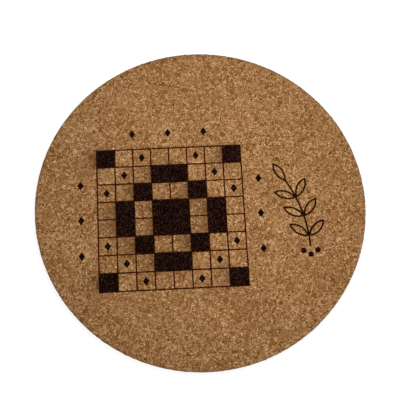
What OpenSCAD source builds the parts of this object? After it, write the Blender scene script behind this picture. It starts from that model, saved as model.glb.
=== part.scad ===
// Round cork drink coaster with a dark print let into its upper face.
// Millimetres, +Z up. The origin is the centre of the face it lies on, and +Y is the top of the print.
// The print is flush: each figure is a thin inlay that fills its own pocket in the cork.

/* [Cork disc] */
// Diameter of the disc
disc_d = 100; // [94:1:120]
// Thickness of the cork
disc_t = 3; // [2:0.5:6]
// Rounding of the upper and lower rim
rim_r = 0.4; // [0.1:0.1:0.8]

/* [Print] */
// Depth of the print in the cork
print_depth = 0.2; // [0.1:0.05:0.5]
// Width of a lattice line
line_w = 0.45; // [0.3:0.05:0.8]

/* [Lattice] */
// Side of one cell, from line to line
cell = 5.5; // [4.6:0.1:5.8]
// Cells along each side of the lattice
cells = 8; // [6:2:8]
// Middle of the lattice to the right of the disc's centre
lattice_x = -9; // [-10:0.5:-8]
// Middle of the lattice above the disc's centre
lattice_y = -3.5; // [-5:0.5:2]

/* [Diamonds] */
// Width of a diamond
diamond_w = 2; // [1.4:0.1:3]
// Height of a diamond
diamond_h = 2.8; // [2:0.1:3.6]
// From the lattice's outer line to the middle of the diamonds round it
diamond_gap = 5; // [3:0.2:6]

/* [Sprig] */
// From the lattice's outer line to the foot of the sprig
sprig_gap = 19; // [17:0.5:20]
// Height of the sprig's foot above the lattice's lowest line
sprig_rise = 11; // [9:0.5:14]
// Radius of the stem's bow
stem_r = 40; // [34:1:60]
// Length of the stem along its bow
stem_len = 22; // [18:0.5:24]
// Width of the sprig's lines
stem_w = 0.55; // [0.4:0.05:0.8]
// Length of a leaf
leaf_len = 7; // [5:0.25:8]
// Width of a leaf
leaf_w = 2.8; // [2:0.1:3.4]
// Pairs of leaves along the stem
leaf_pairs = 3; // [2:1:3]
// Angle between a leaf and the stem
leaf_lean = 50; // [40:1:60]
// Diameter of a berry
berry_d = 1.7; // [1.2:0.1:2.2]
// Space between a berry and the stem's foot
berry_gap = 1.6; // [1.2:0.1:2]

/* [Hidden] */
$fn = 96;

CORK = [0.60, 0.43, 0.27];
INK = [0.12, 0.06, 0.05];

disc_r = disc_d / 2;
print_z = disc_t - print_depth;
cut_over = 1;

// A place [column, row] is counted from the middle of the lattice outwards, and stands for four cells.
half_cells = cells / 2;
outer_cell = half_cells - 1;
half_lattice = half_cells * cell;
open_cell = cell - line_w;
places = [for (column = [0 : outer_cell], row = [0 : outer_cell]) [column, row]];
mirrors = [[1, 1], [-1, 1], [-1, -1], [1, -1]];
// Dark tiles make a core, a ring round it and the four corners. Diamonds make a wider ring.
core_ring = 0;
tile_ring = 2;
diamond_ring = outer_cell + 1;
function ring(place) = place[0] + place[1];
tile_places = [
    for (place = places)
        if (ring(place) == core_ring || ring(place) == tile_ring || min(place) == outer_cell) place
];
cell_diamond_places = [for (place = places) if (ring(place) == diamond_ring) place];

// Diamonds stand round three sides of the lattice, two cells apart.
edge_diamond_steps = [-1, 0, 1];
edge_diamond_pitch = 2 * cell;
edge_diamond_reach = half_lattice + diamond_gap;

// The stem bows to the left about a point on that side, from its foot upwards.
sprig_x = lattice_x + half_lattice + sprig_gap;
sprig_y = lattice_y - half_lattice + sprig_rise;
stem_turn = stem_len / stem_r * 180 / PI;
leaf_pitch = stem_turn / (leaf_pairs + 0.5);
// A leaf's two sides are arcs of one radius, and its line runs inside them.
leaf_r = (pow(leaf_len, 2) + pow(leaf_w, 2)) / (4 * leaf_w);
leaf_centre = leaf_r - leaf_w / 2;
berry_angles = [-150, -90, -30];

// The disc before the print is let in, turned from half of its section.
module disc_blank() {
    rotate_extrude($fn = 240) {
        square([disc_r - rim_r, disc_t]);
        translate([0, rim_r]) square([disc_r, disc_t - 2 * rim_r]);
        for (z = [rim_r, disc_t - rim_r]) translate([disc_r - rim_r, z]) circle(rim_r);
    }
}

// Places its children in the four cells that one place stands for.
module at_cells(places) {
    for (place = places, side = mirrors)
        translate([
            lattice_x + side[0] * (place[0] + 0.5) * cell,
            lattice_y + side[1] * (place[1] + 0.5) * cell
        ]) children();
}

module lattice_outline() {
    difference() {
        translate([lattice_x, lattice_y]) square(2 * half_lattice + line_w, center = true);
        for (column = [0.5 - half_cells : half_cells], row = [0.5 - half_cells : half_cells])
            translate([lattice_x + column * cell, lattice_y + row * cell]) square(open_cell, center = true);
    }
}

module tile_outline() {
    at_cells(tile_places) square(open_cell, center = true);
}

module diamond() {
    polygon([[diamond_w / 2, 0], [0, diamond_h / 2], [-diamond_w / 2, 0], [0, -diamond_h / 2]]);
}

module cell_diamond_outline() {
    at_cells(cell_diamond_places) diamond();
}

module edge_diamond_outline() {
    for (turn = [0, 90, 180], step = edge_diamond_steps)
        translate([lattice_x, lattice_y])
            rotate(turn) translate([edge_diamond_reach, step * edge_diamond_pitch])
                rotate(-turn) diamond();
}

// Places its children on the stem's bow, turned to run along it.
module on_stem(turn) {
    translate([sprig_x - stem_r, sprig_y]) rotate(turn) translate([stem_r, 0]) children();
}

module stem_outline() {
    reach = 2 * stem_r;
    translate([sprig_x - stem_r, sprig_y]) intersection() {
        difference() {
            circle(stem_r + stem_w / 2, $fn = 240);
            circle(stem_r - stem_w / 2, $fn = 240);
        }
        polygon([[0, 0], [reach, 0], [reach * cos(stem_turn), reach * sin(stem_turn)]]);
    }
}

// A leaf from its root upwards, drawn in by inset all round.
module leaf(inset) {
    translate([0, leaf_len / 2]) intersection_for (side = [-1, 1])
        translate([side * leaf_centre, 0]) circle(leaf_r - inset, $fn = 180);
}

module leaf_line() {
    difference() {
        leaf(0);
        leaf(stem_w);
    }
}

// Every leaf, in pairs along the stem and one at its tip, with the roots running into the stem.
module rooted_leaves() {
    for (pair = [1 : leaf_pairs], side = [-1, 1])
        on_stem((pair - 0.5) * leaf_pitch) rotate(-side * leaf_lean) leaf_line();
    on_stem(stem_turn) translate([0, -stem_w / 2]) leaf_line();
}

module leaf_outline() {
    difference() {
        rooted_leaves();
        stem_outline();
    }
}

module berry_outline() {
    for (angle = berry_angles)
        on_stem(0) rotate(angle) translate([berry_gap + berry_d / 2, 0]) circle(berry_d / 2);
}

module inlay() {
    translate([0, 0, print_z]) linear_extrude(print_depth) children();
}

module cork_disc() {
    color(CORK) difference() {
        disc_blank();
        translate([0, 0, print_z]) linear_extrude(print_depth + cut_over) {
            lattice_outline();
            tile_outline();
            cell_diamond_outline();
            edge_diamond_outline();
            stem_outline();
            rooted_leaves();
            berry_outline();
        }
    }
}

module lattice_lines() { color(INK) inlay() lattice_outline(); }
module dark_tiles() { color(INK) inlay() tile_outline(); }
module cell_diamonds() { color(INK) inlay() cell_diamond_outline(); }
module edge_diamonds() { color(INK) inlay() edge_diamond_outline(); }
module sprig_stem() { color(INK) inlay() stem_outline(); }
module sprig_leaves() { color(INK) inlay() leaf_outline(); }
module sprig_berries() { color(INK) inlay() berry_outline(); }

cork_disc();
lattice_lines();
dark_tiles();
cell_diamonds();
edge_diamonds();
sprig_stem();
sprig_leaves();
sprig_berries();
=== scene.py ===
"""The looks of a round cork coaster: pressed granules in relief, with a dark print sunk flush into them."""

import math

import bpy
import numpy as np
from mathutils import Matrix, Vector
from mathutils.bvhtree import BVHTree
from mathutils.geometry import delaunay_2d_cdt
from mathutils.kdtree import KDTree


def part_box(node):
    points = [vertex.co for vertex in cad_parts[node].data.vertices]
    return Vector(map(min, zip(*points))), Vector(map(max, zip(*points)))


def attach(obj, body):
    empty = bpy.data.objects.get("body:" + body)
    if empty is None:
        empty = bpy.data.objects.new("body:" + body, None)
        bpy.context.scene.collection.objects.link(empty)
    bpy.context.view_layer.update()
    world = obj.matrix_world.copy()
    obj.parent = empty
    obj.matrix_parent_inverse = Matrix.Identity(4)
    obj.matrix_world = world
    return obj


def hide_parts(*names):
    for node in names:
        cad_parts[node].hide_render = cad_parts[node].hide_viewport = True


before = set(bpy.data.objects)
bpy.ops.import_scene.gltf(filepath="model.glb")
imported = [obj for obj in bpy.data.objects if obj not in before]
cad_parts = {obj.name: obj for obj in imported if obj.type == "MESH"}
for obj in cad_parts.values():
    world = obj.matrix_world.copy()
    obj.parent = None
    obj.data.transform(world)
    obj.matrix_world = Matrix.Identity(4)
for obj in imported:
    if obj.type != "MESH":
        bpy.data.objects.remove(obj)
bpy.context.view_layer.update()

# Lengths in this script are in millimetres, the pieces are in metres.
MM = 0.001

# The photograph's view: what the camera looks at, from where, and how far it leans to one side. Then its
# lens, the width of its sensor, and how near it sees.
CAMERA_TARGET = (-0.145, 1.37, 3.0)
CAMERA_DISTANCE = 281.3
CAMERA_AZIMUTH = 6.4
CAMERA_ELEVATION = 72.94
CAMERA_ROLL = 3.53
CAMERA_LENS = 83.85
CAMERA_SENSOR = 36.0
CAMERA_NEAR = 10

# Width of the mesh's triangles on each face of the disc, and how far their corners stray from an even net.
TOP_STEP = 0.42
UNDER_STEP = 0.56
RIM_STEP = 0.42
NET_STRAY = 0.22
NET_SEED = 11
# Points of the net keep this share of a step away from an outline.
OUTLINE_ROOM = 0.55
# Outline points are kept to hundredths of a millimetre. Those that lie nearer than the weld are one, and
# bare cork slimmer than a sliver belongs to the print beside it.
OUTLINE_DECIMALS = 2
WELD = 0.004
SLIVER = 0.03
# What the triangulation is asked for: triangles over the whole hull of its points.
WHOLE_HULL = 0
# Rings of points over each rounded edge of the rim, and down its upright side, both ends among them.
ROUNDED_RINGS = 4
UPRIGHT_RINGS = 7
# Edges that turn more than this many degrees stay sharp.
SHARP_ANGLE = 55
UP = np.array([0.0, 0.0, 1.0])

# Places on the bake's map: the middle and width of each round face and of a figure, the rows that hold the
# rim, and the point that all hidden faces share.
TOP_MAP = ((0.315, 0.685), 0.61)
UNDER_MAP = ((0.815, 0.815), 0.36)
FIGURE_MAP = ((0.5, 0.5), 0.94)
HIDDEN_MAP = (0.99, 0.5)
RIM_ROWS = 4
RIM_ROW_HEIGHT = 0.06
RIM_ROW_STEP = 0.08
RIM_MARGIN = 0.01

# The printed nodes, which lie a hair below the cork, and how charred each of them is.
PRINT_CHAR = {
    "lattice_lines": 0.0,
    "dark_tiles": 1.0,
    "cell_diamonds": 1.0,
    "edge_diamonds": 1.0,
    "sprig_stem": 0.85,
    "sprig_leaves": 0.85,
    "sprig_berries": 1.0,
}
PRINT_SINK = 0.02
# All print within this distance of a dark tile is charred as the tile is.
CHAR_ROOM = 0.3
# Soot from the dark tiles drifted to their left: how far it reaches, beyond which distance none is left, the
# fan of directions that it came from in degrees, and how much of the cork it hides where it starts.
SOOT_REACH = 4.0
SOOT_LIMIT = 6 * SOOT_REACH
SOOT_FAN = (-40, -24, -8, 8, 24, 40)
SOOT_SHARE = 0.72
SOOT_TONE = (66, 36, 8)

# Chances, noise and tones run from 0 to 1 about this middle.
MIDDLE = 0.5
# How many finer layers a noise has, where nothing else is said.
NOISE_DETAIL = 2.0

# Cork granules: how wide each size is, the share of it left whole by the next size down, and how far its
# tones sway. The finest lie in the bed between the others.
LARGE_GRANULE = 1.1
LARGE_SHARE = 0.15
LARGE_SWAY = 0.64
SMALL_GRANULE = 0.46
SMALL_SHARE = 0.3
SMALL_SWAY = 0.85
FINE_GRANULE = 0.28
FINE_SWAY = 1.3
# A granule's tone follows its chance by these two shares, straight and cubed, so that far tones are few.
STRAIGHT_SHARE = 0.5
CUBED_SHARE = 2.0
# How far the granules' sides wander, over which length.
GRANULE_STIR = 0.9
STIR_SIZE = 0.9
STIR_DETAIL = 1.0
# Pits where a granule has fallen out of the face: how wide they are, the share of places that have one, and
# how far from its middle a pit starts and is deepest, as shares of its width.
PIT_SIZE = 0.8
PIT_SHARE = 0.03
PIT_FADE = (0.5, 0.2)

# The cutter pressed the faces down along their edge: how wide and how deep.
PRESSED_WIDTH = 1.4
PRESSED_DEPTH = 0.14

# Relief of the face, all of it below the pressed surface.
CREVICE_DEPTH = 0.05
CREVICE_WIDTH = 0.25
GRANULE_STEP = 0.04
PIT_DEPTH = 0.16
# The cut rim is this many times as rough as the faces.
RIM_ROUGHNESS = 1.8

# What else sways the cork's tone, as the width of each kind of mark and how far it carries.
FLECK_SIZE = 0.2
FLECK_SWAY = 1.4
CLOUD_SIZE = 9.0
CLOUD_SWAY = 0.25
# Seams between granules show as dark hairs of this width, in patches of this size: partly dark binder and
# partly painted shade in the crevices. A patch starts, and is full, where its noise has the two values given.
SEAM_WIDTH = 0.12
SEAM_PATCH = 1.0
SEAM_DETAIL = 1.0
SEAM_FADE = (0.42, 0.62)
SEAM_AND_SHADE_SHARE = 0.5

# Tones of the granules, from the darkest to the palest, as screen colours.
CORK_TONES = [
    (0.00, (101, 54, 8)),
    (0.25, (134, 88, 41)),
    (0.50, (162, 116, 69)),
    (0.75, (190, 145, 98)),
    (1.00, (226, 182, 135)),
]
# Tone of the seams: partly dark binder, partly painted shade in the crevices.
SEAM_AND_SHADE_TONE = (96, 52, 10)
# Painted shade in the pits where granules have fallen out, and how much of it.
PIT_SHADE_TONE = (84, 42, 6)
PIT_SHADE_SHARE = 0.8
# Painted shade along the cut edge: darker and greyer, over this width.
EDGE_SHADE_TONE = (104, 92, 80)
EDGE_SHADE_WIDTH = 0.9
EDGE_SHADE_SHARE = 0.4
# Dark print: black where it is charred, browner where it isn't, with pale specks where the finest flecks are
# this strong: partly bare grain and partly painted glints.
CHAR_TONE = (12, 4, 4)
LINE_TONE = (50, 8, 2)
SPECK_AND_GLINT_TONE = (168, 110, 76)
SPECK_AND_GLINT_FADE = (0.57, 0.85)

# Finish of the cork and of the print: roughness at the darkest and at the palest tone, shine, and the
# strength and depth of the finest relief, which only the shader has.
CORK_ROUGHNESS = (0.95, 0.85)
CORK_SHINE = 0.1
CORK_BUMP = 0.6
CORK_BUMP_DEPTH = 0.04
PRINT_ROUGHNESS = (0.95, 0.8)
PRINT_SHINE = 0.01
PRINT_BUMP = 0.5
PRINT_BUMP_DEPTH = 0.03
# How high a fleck stands in it, as a share of how deep a seam lies.
FLECK_HEIGHT = 0.6

# The studio: a pale floor, light from all round, and two soft lamps by their place, width and power in watts.
FLOOR_WIDTH = 4000
FLOOR_COLOUR = (235, 235, 235)
FLOOR_ROUGHNESS = 0.9
FLOOR_GLOW = 0.87
FLOOR_SHADE = 0.3
# The floor glows less near the coaster, where the lamps light it: up to the first distance, and from the
# second on it is white by itself.
GLOW_FADE = (90, 280)
WORLD_LIGHT = 0.28
KEY_PLACE = (13, 16, 112)
KEY_WIDTH = 80
KEY_POWER = 0.095
FILL_PLACE = (420, -430, 180)
FILL_WIDTH = 400
FILL_POWER = 1.0


def linear(colour):
    """A screen colour of 0 to 255 as the linear colour that a shader takes, by the sRGB formula."""
    shares = [value / 255 for value in colour]
    return [s / 12.92 if s <= 0.04045 else ((s + 0.055) / 1.055) ** 2.4 for s in shares] + [1.0]


class Graph:
    """Writes a node tree as formulas: each call adds a node and gives its output."""

    def __init__(self, tree):
        self.tree = tree

    def node(self, kind, **settings):
        """A new node with the settings given."""
        node = self.tree.nodes.new(kind)
        for name, value in settings.items():
            setattr(node, name, value)
        return node

    def feed(self, socket, value):
        """Links an output to a socket, or sets the socket to a plain value."""
        if isinstance(value, bpy.types.NodeSocket):
            self.tree.links.new(value, socket)
        else:
            socket.default_value = value

    def math(self, operation, *values):
        """An operation on numbers."""
        node = self.node("ShaderNodeMath", operation=operation)
        for socket, value in zip(node.inputs, values):
            self.feed(socket, value)
        return node.outputs[0]

    def vector(self, operation, *values):
        """An operation on vectors."""
        node = self.node("ShaderNodeVectorMath", operation=operation)
        for socket, value in zip(node.inputs, values):
            self.feed(socket, value)
        return node.outputs[0]

    def scaled(self, vector, factor):
        """A vector times a factor."""
        node = self.node("ShaderNodeVectorMath", operation="SCALE")
        self.feed(node.inputs["Vector"], vector)
        self.feed(node.inputs["Scale"], factor)
        return node.outputs[0]

    def parts(self, vector):
        """The three parts of a vector or colour."""
        node = self.node("ShaderNodeSeparateXYZ")
        self.feed(node.inputs[0], vector)
        return node.outputs

    def round_parts(self, vector):
        """How far a place lies from the upright axis, and its height."""
        x, y, height = self.parts(vector)
        return self.math("SQRT", self.math("MULTIPLY_ADD", x, x, self.math("MULTIPLY", y, y))), height

    def fade(self, value, start, end, low=0.0, high=1.0):
        """A soft step from low, at start, to high, at end."""
        node = self.node("ShaderNodeMapRange", interpolation_type="SMOOTHSTEP")
        names = ("Value", "From Min", "From Max", "To Min", "To Max")
        for name, given in zip(names, (value, start, end, low, high)):
            self.feed(node.inputs[name], given)
        return node.outputs[0]

    def mix(self, share, first, second):
        """A number between two others. The node's sockets for numbers are 0, 2 and 3."""
        node = self.node("ShaderNodeMix", data_type="FLOAT")
        for index, value in ((0, share), (2, first), (3, second)):
            self.feed(node.inputs[index], value)
        return node.outputs[0]

    def blend(self, share, first, second):
        """A colour between two others. The node's sockets for colours are 0, 6 and 7, and its output is 2."""
        node = self.node("ShaderNodeMix", data_type="RGBA")
        for index, value in ((0, share), (6, first), (7, second)):
            self.feed(node.inputs[index], value)
        return node.outputs[2]

    def noise(self, place, size, detail=NOISE_DETAIL, output="Fac"):
        """Soft noise with marks of the given size."""
        node = self.node("ShaderNodeTexNoise")
        for name, value in (("Vector", place), ("Scale", 1 / size), ("Detail", detail)):
            self.feed(node.inputs[name], value)
        return node.outputs[output]

    def cells(self, place, size, feature="F1"):
        """Random cells of the given size."""
        node = self.node("ShaderNodeTexVoronoi", feature=feature)
        for name, value in (("Vector", place), ("Scale", 1 / size)):
            self.feed(node.inputs[name], value)
        return node.outputs

    def ramp(self, value, stops):
        """A colour picked by a value from stops of a place and a screen colour."""
        node = self.node("ShaderNodeValToRGB")
        while len(node.color_ramp.elements) < len(stops):
            node.color_ramp.elements.new(1.0)
        for element, (position, colour) in zip(node.color_ramp.elements, stops):
            element.position = position
            element.color = linear(colour)
        self.feed(node.inputs[0], value)
        return node.outputs[0]


def granule_tone(g, chance, sway):
    """A granule's tone from a chance of 0 to 1: mostly near 0, and seldom as far from it as half its sway."""
    lean = g.math("SUBTRACT", chance, MIDDLE)
    steepness = g.math("MULTIPLY_ADD", g.math("MULTIPLY", lean, lean), CUBED_SHARE, STRAIGHT_SHARE)
    return g.math("MULTIPLY", g.math("MULTIPLY", lean, steepness), sway)


def granules(g, place):
    """Pressed cork at a place in millimetres: the granule's tone and height, the distance to its side, and
    how far into a pit the place lies."""
    stir = g.vector("SUBTRACT", g.noise(place, STIR_SIZE, STIR_DETAIL, "Color"), (MIDDLE, MIDDLE, MIDDLE))
    place = g.vector("ADD", place, g.scaled(stir, GRANULE_STIR))
    large_tone, large_split, large_height = g.parts(g.cells(place, LARGE_GRANULE)["Color"])
    small_tone, small_split, small_height = g.parts(g.cells(place, SMALL_GRANULE)["Color"])
    fine_tone = g.parts(g.cells(place, FINE_GRANULE)["Color"])[0]
    large_side = g.cells(place, LARGE_GRANULE, "DISTANCE_TO_EDGE")["Distance"]
    small_side = g.cells(place, SMALL_GRANULE, "DISTANCE_TO_EDGE")["Distance"]
    whole = g.math("LESS_THAN", large_split, LARGE_SHARE)
    bed = g.math("GREATER_THAN", small_split, SMALL_SHARE)
    large_side = g.math("MULTIPLY", large_side, LARGE_GRANULE)
    small_side = g.math("MULTIPLY", small_side, SMALL_GRANULE)
    nearest = g.math("MINIMUM", large_side, small_side)
    pits = g.cells(place, PIT_SIZE)
    fallen = g.math("LESS_THAN", g.parts(pits["Color"])[0], PIT_SHARE)
    tone = g.mix(bed, granule_tone(g, small_tone, SMALL_SWAY), granule_tone(g, fine_tone, FINE_SWAY))
    return {
        "tone": g.mix(whole, tone, granule_tone(g, large_tone, LARGE_SWAY)),
        "height": g.mix(whole, small_height, large_height),
        "side": g.mix(whole, nearest, large_side),
        "pit": g.math("MULTIPLY", fallen, g.fade(pits["Distance"], *PIT_FADE)),
    }


def relief_group():
    """Geometry nodes that press the granules' relief into a mesh, against each point's outward direction."""
    tree = bpy.data.node_groups.new("cork_relief", "GeometryNodeTree")
    tree.interface.new_socket("Geometry", in_out="INPUT", socket_type="NodeSocketGeometry")
    tree.interface.new_socket("Geometry", in_out="OUTPUT", socket_type="NodeSocketGeometry")
    g = Graph(tree)
    place = g.scaled(g.node("GeometryNodeInputPosition").outputs[0], 1 / MM)
    grain = granules(g, place)
    crevice = g.fade(grain["side"], CREVICE_WIDTH, 0.0, 0.0, CREVICE_DEPTH)
    step = g.math("MULTIPLY", grain["height"], GRANULE_STEP)
    pit = g.math("MULTIPLY", grain["pit"], PIT_DEPTH)
    depth = g.math("MAXIMUM", g.math("ADD", crevice, step), pit)
    outward = g.node("GeometryNodeInputNamedAttribute", data_type="FLOAT_VECTOR")
    outward.inputs["Name"].default_value = "outward"
    offset = g.scaled(outward.outputs["Attribute"], g.math("MULTIPLY", depth, -MM))
    move = g.node("GeometryNodeSetPosition")
    g.feed(move.inputs["Geometry"], g.node("NodeGroupInput").outputs[0])
    g.feed(move.inputs["Offset"], offset)
    g.feed(g.node("NodeGroupOutput").inputs[0], move.outputs[0])
    return tree


def grain_group():
    """Shader nodes for bare cork: its colour, with painted shade in its pits and, partly, in its seams, its
    tone, its finest flecks and its finest relief.
    """
    tree = bpy.data.node_groups.new("cork_grain", "ShaderNodeTree")
    tree.interface.new_socket("Place", in_out="INPUT", socket_type="NodeSocketVector")
    for name, kind in (("Color", "Color"), ("Tone", "Float"), ("Fleck", "Float"), ("Height", "Float")):
        tree.interface.new_socket(name, in_out="OUTPUT", socket_type="NodeSocket" + kind)
    g = Graph(tree)
    place = g.node("NodeGroupInput").outputs["Place"]
    grain = granules(g, place)
    flecks = g.noise(place, FLECK_SIZE)
    clouds = g.noise(place, CLOUD_SIZE)
    tone = MIDDLE
    for mark, sway in ((flecks, FLECK_SWAY), (clouds, CLOUD_SWAY)):
        tone = g.math("ADD", tone, g.math("MULTIPLY", g.math("SUBTRACT", mark, MIDDLE), sway))
    tone = g.math("ADD", tone, grain["tone"])
    patches = g.fade(g.noise(place, SEAM_PATCH, SEAM_DETAIL), *SEAM_FADE)
    seam = g.math("MULTIPLY", g.fade(grain["side"], SEAM_WIDTH, 0.0), patches)
    colour = g.ramp(tone, CORK_TONES)
    # Seams: partly dark binder, partly painted shade in the crevices.
    colour = g.blend(g.math("MULTIPLY", seam, SEAM_AND_SHADE_SHARE), colour, linear(SEAM_AND_SHADE_TONE))
    # Painted shade in the pits.
    colour = g.blend(g.math("MULTIPLY", grain["pit"], PIT_SHADE_SHARE), colour, linear(PIT_SHADE_TONE))
    height = g.math("SUBTRACT", g.math("MULTIPLY", flecks, FLECK_HEIGHT), seam)
    result = g.node("NodeGroupOutput")
    for name, value in (("Color", colour), ("Tone", tone), ("Fleck", flecks), ("Height", height)):
        g.feed(result.inputs[name], value)
    return tree


def surface_place(g):
    """A surface's own place in millimetres."""
    return g.scaled(g.node("ShaderNodeTexCoord").outputs["Object"], 1 / MM)


def placed_group(g, group, place):
    """A shader node group fed with a place."""
    node = g.node("ShaderNodeGroup", node_tree=group)
    g.feed(node.inputs["Place"], place)
    return node.outputs


def edge_shade_mask(g, place, disc):
    """Where the edge's painted shade lies: 1 along the upper and lower edge of the disc, and 0 on its faces
    and halfway down its side.
    """
    across, height = g.round_parts(place)
    from_middle = g.math("ABSOLUTE", g.math("SUBTRACT", height, disc.thickness / 2))
    rounding = disc.radius - disc.flat_radius
    outer = g.fade(across, disc.radius - EDGE_SHADE_WIDTH, disc.radius - rounding / 2)
    return g.math("MULTIPLY", outer, g.fade(from_middle, disc.thickness / 2 - rounding, disc.thickness / 2))


def new_material(name):
    """A material, its graph and its shader."""
    material = bpy.data.materials.new(name)
    material.use_nodes = True
    return material, Graph(material.node_tree), material.node_tree.nodes["Principled BSDF"]


def add_finish(g, surface, grain, roughness, strength, depth):
    """Gives a shader its roughness, by the grain's tone, and the grain's finest relief."""
    g.feed(surface.inputs["Roughness"], g.fade(grain["Tone"], 0.0, 1.0, *roughness))
    bump = g.node("ShaderNodeBump")
    bump.inputs["Strength"].default_value = strength
    bump.inputs["Distance"].default_value = depth * MM
    g.feed(bump.inputs["Height"], grain["Height"])
    g.feed(surface.inputs["Normal"], bump.outputs[0])


def cork_material(grain_tree, disc):
    """Bare cork, browned by soot where the mesh says so, with painted shade along its cut edge."""
    material, g, surface = new_material("bare_cork")
    place = surface_place(g)
    grain = placed_group(g, grain_tree, place)
    soot = g.node("ShaderNodeAttribute", attribute_name="soot").outputs["Fac"]
    colour = g.blend(g.math("MULTIPLY", soot, SOOT_SHARE), grain["Color"], linear(SOOT_TONE))
    # Painted shade, darker and greyer, along the cut edge.
    edge = g.math("MULTIPLY", edge_shade_mask(g, place, disc), EDGE_SHADE_SHARE)
    g.feed(surface.inputs["Base Color"], g.blend(edge, colour, linear(EDGE_SHADE_TONE)))
    surface.inputs["Specular IOR Level"].default_value = CORK_SHINE
    add_finish(g, surface, grain, CORK_ROUGHNESS, CORK_BUMP, CORK_BUMP_DEPTH)
    return material


def print_material(grain_tree):
    """Dark print burnt into the cork, with pale specks where the finest grain stands up: partly bare grain,
    partly painted glints.
    """
    material, g, surface = new_material("dark_print")
    grain = placed_group(g, grain_tree, surface_place(g))
    charred = g.node("ShaderNodeAttribute", attribute_name="charred").outputs["Fac"]
    burn = g.blend(charred, linear(LINE_TONE), linear(CHAR_TONE))
    # Pale specks: partly bare grain, partly painted glints.
    speck_and_glint = g.fade(grain["Fleck"], *SPECK_AND_GLINT_FADE)
    g.feed(surface.inputs["Base Color"], g.blend(speck_and_glint, burn, linear(SPECK_AND_GLINT_TONE)))
    surface.inputs["Specular IOR Level"].default_value = PRINT_SHINE
    add_finish(g, surface, grain, PRINT_ROUGHNESS, PRINT_BUMP, PRINT_BUMP_DEPTH)
    return material


def top_of(node):
    """The upper face of a CAD node: its points on the plane, in millimetres, and its triangles."""
    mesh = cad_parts[node].data
    mesh.calc_loop_triangles()
    points = np.array([vertex.co for vertex in mesh.vertices]) / MM
    triangles = np.array([triangle.vertices for triangle in mesh.loop_triangles])
    on_top = points[triangles][:, :, 2].min(axis=1) > points[:, 2].max() - WELD
    return points[:, :2], triangles[on_top]


def outline_of(points, triangles):
    """The two ends of each outline edge of a flat face: those that only one of its triangles has."""
    places, index = np.unique(points.round(OUTLINE_DECIMALS), axis=0, return_inverse=True)
    index = index.reshape(-1)
    edges = index[triangles][:, [[0, 1], [1, 2], [2, 0]]].reshape(-1, 2)
    edges = np.sort(edges[edges[:, 0] != edges[:, 1]], axis=1)
    edges, counts = np.unique(edges, axis=0, return_counts=True)
    return places[edges[counts == 1]]


def inside(points, ends):
    """Which points lie inside an outline, by how many of its edges lie to the right of each."""
    x, y = points.T
    odd = np.zeros(len(points), dtype=bool)
    for (x0, y0), (x1, y1) in ends:
        if y0 != y1:
            odd ^= ((y0 > y) != (y1 > y)) & (x < x0 + (y - y0) * (x1 - x0) / (y1 - y0))
    return odd


def circle(count):
    """Points evenly round a circle of radius 1."""
    turns = np.arange(count) / count * 2 * math.pi
    return np.stack([np.cos(turns), np.sin(turns)], axis=1)


def even_net(radius, step, random):
    """Points of a net of even triangles inside a circle, each a little off its place."""
    row = step * math.sqrt(3) / 2
    rows = int(radius / row) + 1
    columns = int(radius / step) + 2
    across, along = np.meshgrid(np.arange(-columns, columns + 1), np.arange(-rows, rows + 1))
    points = np.stack([(across + along % 2 / 2) * step, along * row], axis=-1).reshape(-1, 2)
    points = points + random.uniform(-NET_STRAY, NET_STRAY, points.shape) * step
    return points[np.hypot(*points.T) < radius - step * OUTLINE_ROOM]


def clear_of(points, taken, room):
    """The points that keep the room given from all the points taken."""
    tree = KDTree(len(taken))
    for index, point in enumerate(taken):
        tree.insert((*point, 0.0), index)
    tree.balance()
    distances = [tree.find((*point, 0.0))[2] for point in points]
    return points[np.array(distances) > room]


def divided(ends, step):
    """Outline edges cut into pieces no longer than a step, as points and pairs of points."""
    points = []
    pairs = []
    for start, end in ends:
        count = max(1, math.ceil(np.linalg.norm(end - start) / step))
        first = len(points)
        points.extend(start + (end - start) * share for share in np.linspace(0, 1, count + 1))
        pairs.extend((first + index, first + index + 1) for index in range(count))
    points, index = np.unique(np.array(points).round(OUTLINE_DECIMALS), axis=0, return_inverse=True)
    return points, index.reshape(-1)[np.array(pairs)]


def triangulated(rim, outline, pairs, net):
    """Triangles over a round face that keep each pair of outline points as an edge.
    Gives the face's points, its triangles, and the numbers of the points round its rim."""
    points = np.concatenate([rim, outline, net])
    pairs = [(len(rim) + first, len(rim) + second) for first, second in pairs]
    found = delaunay_2d_cdt([Vector(point) for point in points], pairs, [], WHOLE_HULL, WELD)
    places, _, triangles, origins, _, _ = found
    number = {given: new for new, sources in enumerate(origins) for given in sources}
    return np.array(places), np.array(triangles), np.array([number[index] for index in range(len(rim))])


def open_edges(triangles):
    """The directed edges of a set of triangles that no other triangle of the set shares."""
    edges = triangles[:, [[0, 1], [1, 2], [2, 0]]].reshape(-1, 2)
    size = int(edges.max()) + 1
    keys = edges[:, 0] * size + edges[:, 1]
    return edges[~np.isin(keys, edges[:, 1] * size + edges[:, 0])]


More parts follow.
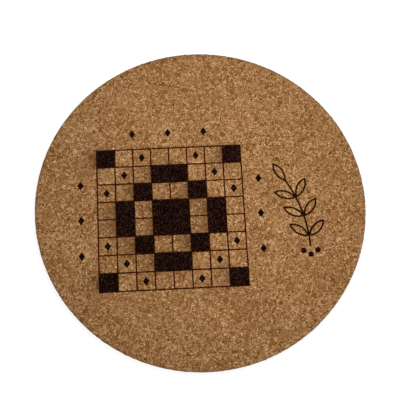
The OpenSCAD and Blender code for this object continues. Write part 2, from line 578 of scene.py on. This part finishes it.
class Shell:
    """Gathers a piece's points, faces and bake places, and makes its mesh."""

    def __init__(self):
        self.points = []
        self.outward = []
        self.faces = []
        self.maps = []
        self.count = 0

    def add_points(self, points, outward):
        """Adds points with the direction that relief is pressed along, and gives the first one's number."""
        first = self.count
        self.points.append(points)
        self.outward.append(np.broadcast_to(outward, points.shape))
        self.count += len(points)
        return first

    def add_faces(self, faces, bake_places):
        """Adds faces, and where each of their corners lies on the bake's map."""
        self.faces.extend(faces.tolist())
        self.maps.append(np.broadcast_to(bake_places, (*faces.shape, 2)).reshape(-1, 2))

    def piece(self, name, material):
        """A piece with only the points that its faces use."""
        points = np.concatenate(self.points)
        outward = np.concatenate(self.outward)
        corners = np.array([corner for face in self.faces for corner in face])
        used, renumbered = np.unique(corners, return_inverse=True)
        ends = np.cumsum([len(face) for face in self.faces])
        faces = [face.tolist() for face in np.split(renumbered.reshape(-1), ends[:-1])]
        mesh = bpy.data.meshes.new(name)
        mesh.from_pydata((points[used] * MM).tolist(), [], faces)
        direction = mesh.attributes.new("outward", "FLOAT_VECTOR", "POINT")
        direction.data.foreach_set("vector", outward[used].astype(np.float32).ravel())
        bake_map = mesh.uv_layers.new(name="OFBake")
        bake_map.uv.foreach_set("vector", np.concatenate(self.maps).astype(np.float32).ravel())
        mesh.materials.append(material)
        piece = bpy.data.objects.new(name, mesh)
        bpy.context.scene.collection.objects.link(piece)
        return piece


class Disc:
    """Sizes of the CAD disc, and its upper face meshed with every outline of the print as edges."""

    def __init__(self):
        random = np.random.default_rng(NET_SEED)
        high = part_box("cork_disc")[1] / MM
        self.radius = high.x
        self.thickness = high.z
        self.print_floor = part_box("dark_tiles")[0].z / MM
        points, triangles = top_of("cork_disc")
        self.flat_radius = np.hypot(*points[triangles].reshape(-1, 2).T).max()
        self.rim = circle(round(2 * math.pi * self.radius / RIM_STEP))
        flat_rim = self.rim * self.flat_radius
        outlines = {node: outline_of(*top_of(node)) for node in PRINT_CHAR}
        ends = np.concatenate(list(outlines.values()))
        outline, pairs = divided(ends, TOP_STEP)
        net = even_net(self.flat_radius, TOP_STEP, random)
        net = clear_of(net, outline, TOP_STEP * OUTLINE_ROOM)
        self.flat, self.triangles, self.top_rim = triangulated(flat_rim, outline, pairs, net)
        self.owner = self.owners(outlines)
        net = even_net(self.flat_radius, UNDER_STEP, random)
        self.under = triangulated(flat_rim, np.empty((0, 2)), [], net)

    def owners(self, outlines):
        """The node that each triangle of the upper face lies on."""
        corners = self.flat[self.triangles]
        owner = np.full(len(corners), "cork_disc", dtype=object)
        for node, ends in outlines.items():
            owner[inside(corners.mean(axis=1), ends)] = node
        sides = np.roll(corners, -1, axis=1) - corners
        lengths = np.linalg.norm(sides, axis=2)
        doubled_area = np.abs(sides[:, 0, 0] * sides[:, 1, 1] - sides[:, 0, 1] * sides[:, 1, 0])
        slim = (owner == "cork_disc") & (doubled_area < SLIVER * lengths.max(axis=1))
        beside = {}
        for index, (a, b, c) in enumerate(self.triangles):
            for edge in ((a, b), (b, c), (c, a)):
                beside[edge] = index
        for index in np.flatnonzero(slim):
            longest = lengths[index].argmax()
            start = self.triangles[index][longest]
            end = self.triangles[index][(longest + 1) % 3]
            owner[index] = owner[beside.get((end, start), index)]
        return owner

    def fall(self, points):
        """How far a face falls at its points, which is nothing but near the edge."""
        share = (np.hypot(*points.T) - self.flat_radius) / PRESSED_WIDTH + 1
        return PRESSED_DEPTH * np.maximum(share, 0) ** 2

    def layer(self, height):
        """The upper face's points at the given height."""
        return np.column_stack([self.flat, height - self.fall(self.flat)])


def rim_section(disc):
    """The rim from the upper face to the underside: each ring's radius, height and outward slope."""
    rounding = disc.radius - disc.flat_radius
    shoulder = disc.thickness - rounding
    upper = []
    for slope in np.linspace(0, math.pi / 2, ROUNDED_RINGS):
        radius = disc.flat_radius + rounding * math.sin(slope)
        upper.append((radius, shoulder + (rounding - PRESSED_DEPTH) * math.cos(slope), slope))
    heights = np.linspace(shoulder, rounding, UPRIGHT_RINGS)[1:-1]
    middle = [(disc.radius, height, math.pi / 2) for height in heights]
    lower = [(radius, disc.thickness - height, math.pi - slope) for radius, height, slope in reversed(upper)]
    return upper + middle + lower


def add_rim(shell, disc, top_ring, under_ring):
    """Rings of points down the rim between those of the two faces, and the faces between all of them."""
    count = len(disc.rim)
    rings = [top_ring]
    for radius, height, slope in rim_section(disc)[1:-1]:
        points = np.column_stack([disc.rim * radius, np.full(count, height)])
        outward = np.column_stack([disc.rim * math.sin(slope), np.full(count, math.cos(slope))])
        rings.append(shell.add_points(points, outward * RIM_ROUGHNESS) + np.arange(count))
    rings.append(under_ring)
    turn = np.arange(count) / count * RIM_ROWS
    row = np.floor(turn)
    sides = (turn - row)[:, None] + np.array([0, 0, 1, 1]) * (RIM_ROWS / count)
    across = RIM_MARGIN + sides * (1 - 2 * RIM_MARGIN)
    for level, (upper, lower) in enumerate(zip(rings, rings[1:])):
        faces = np.stack([upper, lower, np.roll(lower, -1), np.roll(upper, -1)], axis=1)
        share = np.array([level, level + 1, level + 1, level]) / (len(rings) - 1)
        down = RIM_MARGIN + row[:, None] * RIM_ROW_STEP + share * RIM_ROW_HEIGHT
        shell.add_faces(faces, np.stack([across, down], axis=-1))


def add_walls(shell, edges, upper, lower):
    """Upright faces between two layers of the same points, along the given edges of the upper one."""
    start, end = edges.T
    faces = np.stack([lower + start, lower + end, upper + end, upper + start], axis=1)
    shell.add_faces(faces, HIDDEN_MAP)


def round_map(points, place, width):
    """Where points of a face of the given width lie on the bake's map."""
    centre, size = place
    return np.array(centre) + points * (size / width)


def make_cork(disc, material):
    """The disc with a pocket under each figure of the print."""
    shell = Shell()
    upper = shell.add_points(disc.layer(disc.thickness), UP)
    floor = shell.add_points(disc.layer(disc.print_floor), UP)
    bare = disc.triangles[disc.owner == "cork_disc"]
    sunk = disc.triangles[disc.owner != "cork_disc"]
    shell.add_faces(upper + bare, round_map(disc.flat[bare], TOP_MAP, 2 * disc.radius))
    shell.add_faces(floor + sunk, HIDDEN_MAP)
    edges = open_edges(bare)
    on_rim = np.isin(edges, disc.top_rim).all(axis=1)
    add_walls(shell, edges[~on_rim], upper, floor)
    flat, triangles, rim = disc.under
    under = shell.add_points(np.column_stack([flat, disc.fall(flat)]), -UP)
    triangles = triangles[:, ::-1]
    shell.add_faces(under + triangles, round_map(flat[triangles], UNDER_MAP, 2 * disc.radius))
    add_rim(shell, disc, upper + disc.top_rim, under + rim)
    return shell.piece("cork", material)


def tile_walls():
    """The dark tiles of the print, in millimetres, to measure from."""
    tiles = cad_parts["dark_tiles"].data
    return BVHTree.FromPolygons([vertex.co / MM for vertex in tiles.vertices],
                                [polygon.vertices for polygon in tiles.polygons])


def add_soot(piece, disc):
    """Marks how sooty each point of the cork is: the nearer the tiles to its right, the more."""
    walls = tile_walls()
    middle = (disc.thickness + disc.print_floor) / 2
    turns = [math.radians(turn) for turn in SOOT_FAN]
    ways = [Vector((math.cos(turn), math.sin(turn), 0.0)) for turn in turns]
    soot = piece.data.attributes.new("soot", "FLOAT", "POINT")
    for vertex, mark in zip(piece.data.vertices, soot.data):
        place = vertex.co / MM
        if place.z > disc.print_floor:
            start = Vector((place.x, place.y, middle))
            reached = [walls.ray_cast(start, way, SOOT_LIMIT)[3] for way in ways]
            mark.value = sum(math.exp(-far / SOOT_REACH) for far in reached if far is not None) / len(ways)


def add_char(piece, share):
    """Marks how charred each point of a figure is: by its own share, or wholly where it meets a dark tile."""
    walls = tile_walls()
    charred = piece.data.attributes.new("charred", "FLOAT", "POINT")
    for vertex, mark in zip(piece.data.vertices, charred.data):
        near = walls.find_nearest(vertex.co / MM, CHAR_ROOM)[0] is not None
        mark.value = 1.0 if near else share


def make_figure(disc, node, material):
    """One figure of the print, or a group of them, filling its pockets."""
    shell = Shell()
    upper = shell.add_points(disc.layer(disc.thickness - PRINT_SINK), UP)
    lower = shell.add_points(disc.layer(disc.print_floor), UP)
    triangles = disc.triangles[disc.owner == node]
    corners = disc.flat[triangles]
    low = corners.min(axis=(0, 1))
    high = corners.max(axis=(0, 1))
    middle = (low + high) / 2
    shell.add_faces(upper + triangles, round_map(corners - middle, FIGURE_MAP, (high - low).max()))
    shell.add_faces(lower + triangles[:, ::-1], HIDDEN_MAP)
    add_walls(shell, open_edges(triangles), upper, lower)
    return shell.piece(node + "_print", material)


def press_relief(piece, group):
    """Presses the granules' relief into a piece and keeps the result as its mesh."""
    piece.modifiers.new("relief", "NODES").node_group = group
    plain = piece.data
    evaluated = piece.evaluated_get(bpy.context.evaluated_depsgraph_get())
    pressed = bpy.data.meshes.new_from_object(evaluated)
    piece.modifiers.clear()
    piece.data = pressed
    bpy.data.meshes.remove(plain)
    pressed.name = piece.name
    pressed.attributes.remove(pressed.attributes["outward"])
    pressed.polygons.foreach_set("use_smooth", np.ones(len(pressed.polygons), dtype=bool))
    pressed.set_sharp_from_angle(angle=math.radians(SHARP_ANGLE))


def make_object():
    """Every piece of the coaster, riding on its body in place of its CAD node."""
    grain_tree = grain_group()
    dark_print = print_material(grain_tree)
    disc = Disc()
    pieces = {node: make_figure(disc, node, dark_print) for node in PRINT_CHAR}
    pieces["cork_disc"] = make_cork(disc, cork_material(grain_tree, disc))
    add_soot(pieces["cork_disc"], disc)
    for node, share in PRINT_CHAR.items():
        add_char(pieces[node], share)
    relief = relief_group()
    for node, piece in pieces.items():
        press_relief(piece, relief)
        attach(piece, "root")
        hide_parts(node)


def seen_ray(g):
    """1 for a ray that shows the studio itself, straight or in something shiny, and 0 for one that lights."""
    rays = g.node("ShaderNodeLightPath").outputs
    return g.math("MAXIMUM", rays["Is Camera Ray"],
                  g.math("MAXIMUM", rays["Is Glossy Ray"], rays["Is Transmission Ray"]))


def make_floor():
    """A pale floor that stays white to the camera and keeps the coaster's shadow."""
    mesh = bpy.data.meshes.new("floor")
    half = FLOOR_WIDTH * MM / 2
    mesh.from_pydata([(-half, -half, 0.0), (half, -half, 0.0), (half, half, 0.0), (-half, half, 0.0)],
                     [], [(0, 1, 2, 3)])
    floor = bpy.data.objects.new("floor", mesh)
    bpy.context.scene.collection.objects.link(floor)
    material, g, surface = new_material("pale_floor")
    surface.inputs["Base Color"].default_value = linear(FLOOR_COLOUR)
    surface.inputs["Roughness"].default_value = FLOOR_ROUGHNESS
    surface.inputs["Specular IOR Level"].default_value = 0.0
    glow = g.node("ShaderNodeEmission")
    away, _ = g.round_parts(surface_place(g))
    g.feed(glow.inputs["Strength"], g.fade(away, *GLOW_FADE, FLOOR_GLOW, 1.0))
    shade = g.node("ShaderNodeBsdfDiffuse")
    shade.inputs["Color"].default_value = (FLOOR_SHADE, FLOOR_SHADE, FLOOR_SHADE, 1.0)
    white = g.node("ShaderNodeAddShader")
    g.feed(white.inputs[0], glow.outputs[0])
    g.feed(white.inputs[1], shade.outputs[0])
    choice = g.node("ShaderNodeMixShader")
    g.feed(choice.inputs[0], seen_ray(g))
    g.feed(choice.inputs[1], surface.outputs[0])
    g.feed(choice.inputs[2], white.outputs[0])
    g.feed(material.node_tree.nodes["Material Output"].inputs["Surface"], choice.outputs[0])
    mesh.materials.append(material)


def make_light(name, place, width, power):
    """A square soft lamp that faces the middle of the coaster."""
    lamp = bpy.data.lights.new(name, "AREA")
    lamp.size = width * MM
    lamp.energy = power
    light = bpy.data.objects.new(name, lamp)
    light.location = Vector(place) * MM
    light.rotation_euler = (-light.location).to_track_quat("-Z", "Y").to_euler()
    light.visible_camera = False
    bpy.context.scene.collection.objects.link(light)


def make_world():
    """Even light from all round, white where the camera sees it."""
    world = bpy.data.worlds.new("studio")
    world.use_nodes = True
    bpy.context.scene.world = world
    g = Graph(world.node_tree)
    background = world.node_tree.nodes["Background"]
    background.inputs["Color"].default_value = (1.0, 1.0, 1.0, 1.0)
    g.feed(background.inputs["Strength"], g.mix(seen_ray(g), WORLD_LIGHT, 1.0))


def make_camera():
    """The photograph's camera: it looks down at the coaster from the front, a little from the left."""
    azimuth = math.radians(CAMERA_AZIMUTH)
    elevation = math.radians(CAMERA_ELEVATION)
    level = math.cos(elevation)
    back = Vector((-math.sin(azimuth) * level, -math.cos(azimuth) * level, math.sin(elevation)))
    camera = bpy.data.objects.new("camera", bpy.data.cameras.new("camera"))
    place = (Vector(CAMERA_TARGET) + back * CAMERA_DISTANCE) * MM
    lean = Matrix.Rotation(math.radians(CAMERA_ROLL), 3, "Z")
    turn = back.to_track_quat("Z", "Y").to_matrix() @ lean
    camera.matrix_world = Matrix.Translation(place) @ turn.to_4x4()
    camera.data.sensor_width = CAMERA_SENSOR
    camera.data.lens = CAMERA_LENS
    camera.data.clip_start = CAMERA_NEAR * MM
    bpy.context.scene.collection.objects.link(camera)
    bpy.context.scene.camera = camera


make_camera()
make_object()
make_floor()
make_world()
make_light("key_light", KEY_PLACE, KEY_WIDTH, KEY_POWER)
make_light("fill_light", FILL_PLACE, FILL_WIDTH, FILL_POWER)
bpy.context.scene.view_settings.view_transform = "Standard"
